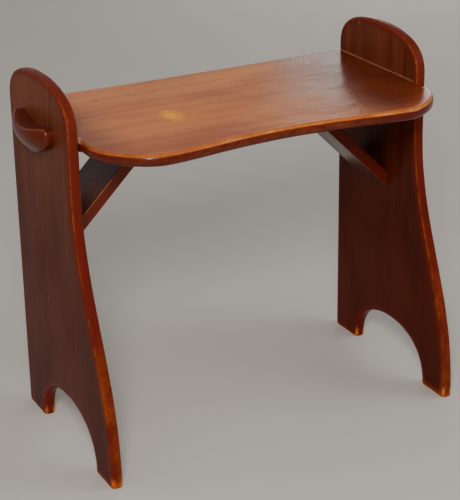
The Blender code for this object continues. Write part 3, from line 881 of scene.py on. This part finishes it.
def floor_material(stage):
    """Plain pale floor with hardly any tone in it."""
    material, tree, shader = bare_material("pale_floor")
    low = tuple(0.97 * c for c in stage.floor)
    color = mixed(tree, spread(tree, plain_noise(tree, 1.3, 6.0), 0.3, 0.7), rgba(low), rgba(stage.floor))
    tree.links.new(color, shader.inputs["Base Color"])
    shader.inputs["Roughness"].default_value = 0.8
    shader.inputs["Specular IOR Level"].default_value = 0.2
    return material


def built_groups():
    if "Stained grain" not in bpy.data.node_groups:
        build_grain_group()
        build_wear_group()
        build_knock_group()
        build_varnish_group()


# ---------------------------------------------------------------- operators


def smooth(value, low, high):
    t = np.clip((value - low) / (high - low), 0, 1)
    return t * t * (3 - 2 * t)


class BENCH_OT_end_boards(bpy.types.Operator):
    """Make the two end boards, with their arches, swept fronts and rounded tops"""

    bl_idname = "bench.end_boards"
    bl_label = "End boards"

    def execute(self, context):
        built_groups()
        sizes, finish = context.scene.bench_boards, context.scene.bench_finish
        loop = end_board_outline(sizes)
        for number, (side, sign) in enumerate(SIDES):
            radius = sizes.edge_radius * (1 - 0.06 * (1 + wave(loop, 0.07, 11 + number)))
            flat, level, arris, rim, faces = rounded_slab(loop, THICKNESS / 2, radius)
            x, y, z = sign * (INNER_X + THICKNESS / 2) + level, flat[:, 0], np.maximum(flat[:, 1], 0)
            foot = 1 - smooth(z, 0.004, 0.024)
            upper = smooth(z, 0.40, 0.57)
            front = smooth(-y, 0.0, 0.05)
            on_edge = rim > ON_EDGE
            line = arris**4 * (0.22 + 0.16 * front + 0.08 * upper)
            scuffed = 0.27 * on_edge * front * (1 - smooth(z, 0.14, 0.36))
            marks = {
                "rub": np.clip(np.maximum(line, scuffed) + 0.75 * foot * (arris + 0.25), 0, 1),
                "edge": np.where(on_edge, 1, 0.55 * rim**1.6),
            }
            turn, offset = (0, 0, 0), (0.0, 0.37 * number, 0.21 * number)
            name, look = "end_board_stain_" + side, BOARD_LOOKS[side]
            material = stained_board(name, turn, offset, finish, shine=0.05, **look)
            points, name = np.column_stack([x, y, z]), side + "_end_board"
            make_piece(name, points, faces, marks, ["end_board_" + side], material)
        return {"FINISHED"}


class BENCH_OT_seat(bpy.types.Operator):
    """Make the scalloped seat board"""

    bl_idname = "bench.seat"
    bl_label = "Seat"

    def execute(self, context):
        built_groups()
        sizes, finish = context.scene.bench_seat, context.scene.bench_finish
        neck_depth = context.scene.bench_boards.neck_depth
        neck_y = BACK_Y - neck_depth
        loop = seat_outline(sizes, neck_depth)
        housed = smooth(np.abs(loop[:, 0]), INNER_X - 0.030, INNER_X - 0.012)
        housed = housed * smooth(loop[:, 1], neck_y - 0.004, neck_y + 0.010)
        radius = sizes.edge_radius * (1 - 0.94 * housed) * (1 - 0.04 * (1 + wave(loop, 0.09, 5)))
        flat, level, arris, rim, faces = rounded_slab(loop, THICKNESS / 2, radius)
        x, y = flat.T
        points = np.column_stack([x, y, SEAT_Z - THICKNESS / 2 + level])
        front = smooth(-y, 0.06, 0.12)
        top = smooth(level, 0.0045, 0.0062)
        # Darker towards the ends: deeper stain and painted shade by the end boards. On the right it also
        # paints the board's dark reflection, slanting back with y to follow it.
        dark_left = 0.7 * smooth(-x, 0.20, 0.28)
        dark_right = smooth(x - 0.35 * np.clip(y, 0, 0.16), 0.04, 0.20)
        against_board = np.exp(-(((INNER_X - np.abs(x)) / 0.0021) ** 4))
        strong = 0.55 + 0.45 * smooth(x, -0.20, -0.05) * (1 - smooth(x, 0.22, 0.27))
        marks = {
            "rub": np.maximum(arris**2 * (0.35 + 0.65 * front), 0.62 * rim**1.7 * front) * top * strong,
            "side": np.where(rim > ON_EDGE, 1 - smooth(level, 0.0045, 0.0078), 0),
            "stain_and_painted_shade": np.maximum(dark_right, dark_left),
            # Painted highlight: a pale line on the seat's top against the end boards, behind their front
            # edges.
            "seam_highlight": against_board * smooth(y, neck_y - 0.01, neck_y) * top,
            # Painted shade: the seat darkens over the lower half of its edge and on its underside.
            "under": 1 - smooth(level, -0.008, -0.002),
            "fade": rim**0.55 * front * top * (0.25 + 0.75 * strong**2),
        }
        make_piece("seat", points, faces, marks, ["seat_board"], seat_wood(finish))
        return {"FINISHED"}


class BENCH_OT_braces(bpy.types.Operator):
    """Make the two flat diagonal braces under the seat"""

    bl_idname = "bench.braces"
    bl_label = "Braces"

    def execute(self, context):
        built_groups()
        sizes, finish = context.scene.bench_boards, context.scene.bench_finish
        middle = (BRACE_HIGH.y + BRACE_LOW.y) / 2
        section = brace_section(sizes.brace_radius)
        half_cut = THICKNESS / math.sqrt(2)
        start = (BRACE_HIGH.x, BRACE_LOW.z + half_cut)
        end = (BRACE_HIGH.x - (BRACE_HIGH.z - BRACE_LOW.z) + half_cut, BRACE_HIGH.z)
        for number, (side, sign) in enumerate(SIDES):
            points, local, faces = leaning_bar(section, start, end)
            points = points * (sign, 1, 1) + (0, middle, 0)
            from_edge = np.abs(BRACE_LOW.y - middle) - np.abs(local[:, 0])
            from_face = THICKNESS / 2 - np.abs(local[:, 1])
            arris = np.exp(-((np.maximum(from_edge, from_face) / (1.2 * sizes.brace_radius)) ** 2))
            front = local[:, 0] < 0
            marks = {
                "rub": arris * np.where(front, BRACE_RUBBED[side], 0.25),
                "edge": (1 - smooth(from_edge, 0.0004, 0.0012)) * front,
            }
            turn, offset = (0, sign * math.radians(45), 0), (0.4, 0.1 + 0.3 * number, 0.5)
            look = BRACE_LOOKS[side]
            material = stained_board("brace_stain_" + side, turn, offset, finish, gloss=0.24, **look)
            make_piece(side + "_brace", points, faces, marks, ["brace_" + side], material)
        return {"FINISHED"}


class BENCH_OT_handles(bpy.types.Operator):
    """Make the two carved half-moon handles"""

    bl_idname = "bench.handles"
    bl_label = "Handles"

    def execute(self, context):
        built_groups()
        sizes, finish = context.scene.bench_handle, context.scene.bench_finish
        length_y, height = HANDLE_HIGH.y - HANDLE_LOW.y, HANDLE_HIGH.z - HANDLE_LOW.z
        centre = np.array([(HANDLE_HIGH.y + HANDLE_LOW.y) / 2, HANDLE_HIGH.z - 0.30 * height])
        half = np.array([0.517 * length_y, 0.72 * height])
        stand = HANDLE_HIGH.x - OUTER_X

        def reach(flat):
            """Height of an ellipsoid over the board: stand sqrt(1 - ((y - yc)/a)^2 - ((z - zc)/b)^2)."""
            away = np.sum(((flat - centre) / half) ** 2, axis=1)
            return stand * np.sqrt(np.clip(1 - away, 0.02, 1)) - HANDLE_GAP

        loop = handle_outline(sizes)
        for number, (side, sign) in enumerate(SIDES):
            flat, level, arris, faces = carved_block(loop, reach, sizes.edge_radius)
            points = np.column_stack([sign * (OUTER_X + HANDLE_GAP + level), flat])
            upper = smooth(flat[:, 1], centre[1] - 0.004, centre[1] + 0.012)
            marks = {"rub": arris * (0.06 + 0.24 * upper), "edge": 0.8 * arris + 0.25 * upper}
            turn, offset = (math.radians(90), 0, 0), (0.2, 0.3 + 0.2 * number, 0.9)
            material = stained_board("handle_stain_" + side, turn, offset, finish, shine=0.35, edged=0.5)
            make_piece(side + "_handle", points, faces, marks, ["handle_" + side], material)
        return {"FINISHED"}


class BENCH_OT_fastenings(bpy.types.Operator):
    """Make the handle screws, and finish the hidden dowels"""

    bl_idname = "bench.fastenings"
    bl_label = "Fastenings"

    def execute(self, context):
        built_groups()
        steel, birch = dulled_steel(), birch_dowel()
        head = context.scene.bench_handle.screw_head
        shape, faces = screw_surface(head, shank=0.0021, tip=0.028, slot=0.0010)
        for side, sign in SIDES:
            for number, place in enumerate(("front", "back")):
                low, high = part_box("screw_" + side + "_" + place)
                y, z = (low.y + high.y) / 2, (low.z + high.z) / 2
                turn = math.radians(25 + 70 * number + 40 * sign)
                a = shape[:, 0] * math.cos(turn) - shape[:, 1] * math.sin(turn)
                b = shape[:, 0] * math.sin(turn) + shape[:, 1] * math.cos(turn)
                points = np.column_stack([sign * (INNER_X + shape[:, 2]), y + a, z + b])
                name = side + "_" + place + "_handle_screw"
                make_piece(name, points, faces, {}, ["screw_" + side + "_" + place], steel)
        for name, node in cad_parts.items():
            if name.startswith("dowel_"):
                node.data.materials.clear()
                node.data.materials.append(birch)
        return {"FINISHED"}


class BENCH_OT_stage(bpy.types.Operator):
    """Make the floor, the lights and the camera"""

    bl_idname = "bench.stage"
    bl_label = "Stage"

    def execute(self, context):
        stage = context.scene.bench_stage
        make_floor(stage)
        make_lights(stage)
        make_camera()
        return {"FINISHED"}


def make_floor(stage):
    mesh = bpy.data.meshes.new("floor")
    reach = 14.0
    corners = [(-reach, -reach, 0), (reach, -reach, 0), (reach, reach, 0), (-reach, reach, 0)]
    mesh.from_pydata(corners, [], [(0, 1, 2, 3)])
    mesh.materials.append(floor_material(stage))
    floor = bpy.data.objects.new("floor", mesh)
    bpy.context.scene.collection.objects.link(floor)


def add_area_light(name, place, aim, size, power, color):
    """A round soft light that faces the aim and is hidden from direct view."""
    light = bpy.data.lights.new(name, "AREA")
    light.shape = "DISK"
    light.size = size
    light.energy = power
    light.color = color
    obj = bpy.data.objects.new(name, light)
    obj.location = place
    obj.rotation_euler = (Vector(aim) - Vector(place)).to_track_quat("-Z", "Y").to_euler()
    obj.visible_camera = False
    bpy.context.scene.collection.objects.link(obj)


def make_lights(stage):
    world = bpy.data.worlds.new("studio")
    bpy.context.scene.world = world
    world.use_nodes = True
    background = world.node_tree.nodes["Background"]
    background.inputs["Color"].default_value = (1.0, 0.97, 0.93, 1)
    background.inputs["Strength"].default_value = stage.ambient
    middle = (0, 0, 0.3)
    add_area_light("key_light", (-1.35, -2.3, 2.0), middle, 0.7, stage.key, (1.0, 0.95, 0.88))
    add_area_light("back_light", (2.35, 2.8, 0.90), (0, 0, 0.5), 1.3, stage.back, (1.0, 0.92, 0.84))
    add_area_light("fill_light", (2.2, -1.2, 1.9), middle, 2.0, stage.fill, (0.93, 0.96, 1.0))


def make_camera():
    """In front of the bench and left of its middle: turned 27.45 degrees to the right and 22.6 down."""
    data = bpy.data.cameras.new("camera")
    data.lens = 115.15
    camera = bpy.data.objects.new("camera", data)
    place = Matrix.Translation((-1.0837, -2.0523, 1.2286))
    turn = Matrix.Rotation(math.radians(-27.45), 4, "Z")
    tilt = Matrix.Rotation(math.radians(90 - 22.60), 4, "X")
    roll = Matrix.Rotation(math.radians(-0.94), 4, "Z")
    camera.matrix_world = place @ turn @ tilt @ roll
    bpy.context.scene.collection.objects.link(camera)
    bpy.context.scene.camera = camera


class BENCH_PT_panel(bpy.types.Panel):
    bl_idname = "BENCH_PT_panel"
    bl_label = "Piano bench"
    bl_space_type = "VIEW_3D"
    bl_region_type = "UI"
    bl_category = "Bench"

    def draw(self, context):
        layout = self.layout
        for maker in MAKERS:
            layout.operator(maker.bl_idname)
        for settings in ("bench_boards", "bench_seat", "bench_handle", "bench_finish", "bench_stage"):
            column = layout.column(align=True)
            group = getattr(context.scene, settings)
            for label in group.__annotations__:
                column.prop(group, label)


SETTINGS = {
    "bench_boards": BenchBoards,
    "bench_seat": BenchSeat,
    "bench_handle": BenchHandle,
    "bench_finish": BenchFinish,
    "bench_stage": BenchStage,
}
MAKERS = (
    BENCH_OT_end_boards,
    BENCH_OT_seat,
    BENCH_OT_braces,
    BENCH_OT_handles,
    BENCH_OT_fastenings,
    BENCH_OT_stage,
)


def register():
    for group in (*SETTINGS.values(), *MAKERS, BENCH_PT_panel):
        bpy.utils.register_class(group)
    for label, group in SETTINGS.items():
        setattr(bpy.types.Scene, label, PointerProperty(type=group))


def unregister():
    for label in SETTINGS:
        delattr(bpy.types.Scene, label)
    for group in reversed((*SETTINGS.values(), *MAKERS, BENCH_PT_panel)):
        bpy.utils.unregister_class(group)


def remove_startup_objects():
    for name in ("Cube", "Light", "Camera"):
        if name in bpy.data.objects:
            bpy.data.objects.remove(bpy.data.objects[name], do_unlink=True)


def main():
    register()
    remove_startup_objects()
    bpy.ops.bench.end_boards()
    bpy.ops.bench.seat()
    bpy.ops.bench.braces()
    bpy.ops.bench.handles()
    bpy.ops.bench.fastenings()
    bpy.ops.bench.stage()


if __name__ == "__main__":
    main()
